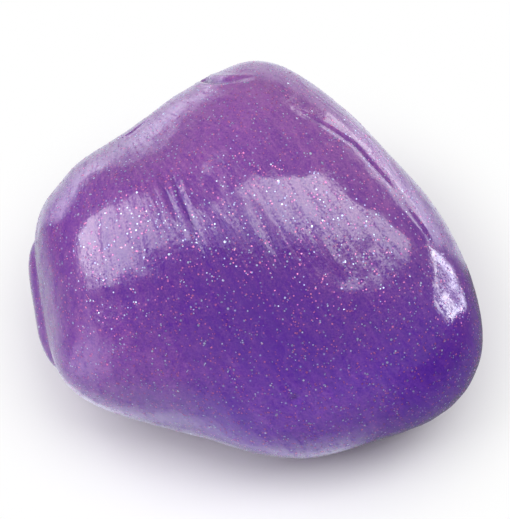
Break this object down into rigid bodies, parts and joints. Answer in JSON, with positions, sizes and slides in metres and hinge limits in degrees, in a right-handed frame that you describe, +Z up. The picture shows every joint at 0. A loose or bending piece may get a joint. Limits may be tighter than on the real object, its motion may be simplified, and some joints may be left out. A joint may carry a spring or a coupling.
{
  "type": "lump of glitter putty",
  "caption": "Hand-kneaded lump of translucent purple silicone putty full of fine silver and pink glitter, with a folded left edge and a resting flat",
  "frame": {"origin": "on the surface it rests on, under the middle of the lump's bounding box", "axes": "+Z up from the resting flat, +X to the right along the lump's length, -Y to the front; the broad side faces -Y and up, leaning back 60 degrees from upright"},
  "size_m": [0.064, 0.055, 0.0441],
  "materials": {
    "purple_putty": "translucent purple silicone putty, wet-looking gloss, faintly wrinkled skin",
    "silver_film": "aluminised polyester film flakes, silver with a pale blue cast",
    "pink_film": "aluminised polyester film flakes, salmon pink"
  },
  "bodies": {
    "root": {"putty_mass": "purple_putty", "silver_fine_flakes": "silver_film", "silver_coarse_flakes": "silver_film", "pink_fine_flakes": "pink_film", "pink_coarse_flakes": "pink_film"}
  },
  "joints": []
}
